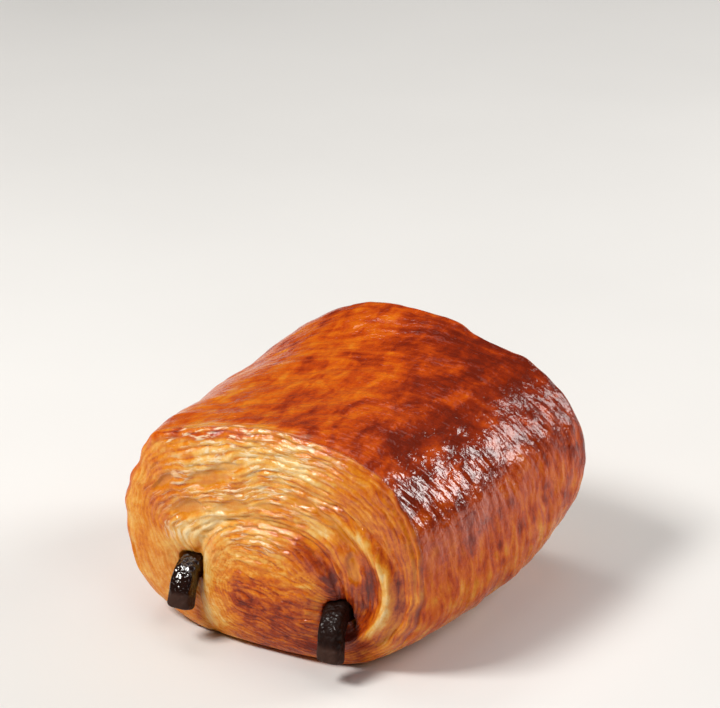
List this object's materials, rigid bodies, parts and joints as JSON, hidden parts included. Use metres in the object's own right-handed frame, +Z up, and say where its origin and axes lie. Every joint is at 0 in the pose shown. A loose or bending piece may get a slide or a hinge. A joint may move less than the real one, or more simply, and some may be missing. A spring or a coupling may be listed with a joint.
{
  "type": "pain au chocolat",
  "caption": "Laminated pastry roll with a glossy browned crust and layered ends, dark chocolate sticks running through it and drooping from its ends.",
  "frame": {"origin": "on the ground, in the middle of the whole object's box", "axes": "+Y along the roll and its sticks, away from the end where the sticks droop furthest; +X across the roll; +Z up"},
  "size_m": [0.0819, 0.0845, 0.0529],
  "materials": {
    "baked_dough": "egg-washed crust, glossy and mottled amber to red-brown, with paler layered ends",
    "dark_chocolate": "dark chocolate, part glossy and pitted, part matte with a grey bloom"
  },
  "bodies": {
    "root": {"pastry": "baked_dough", "chocolate_stick_left": "dark_chocolate", "chocolate_stick_right": "dark_chocolate"}
  },
  "joints": []
}
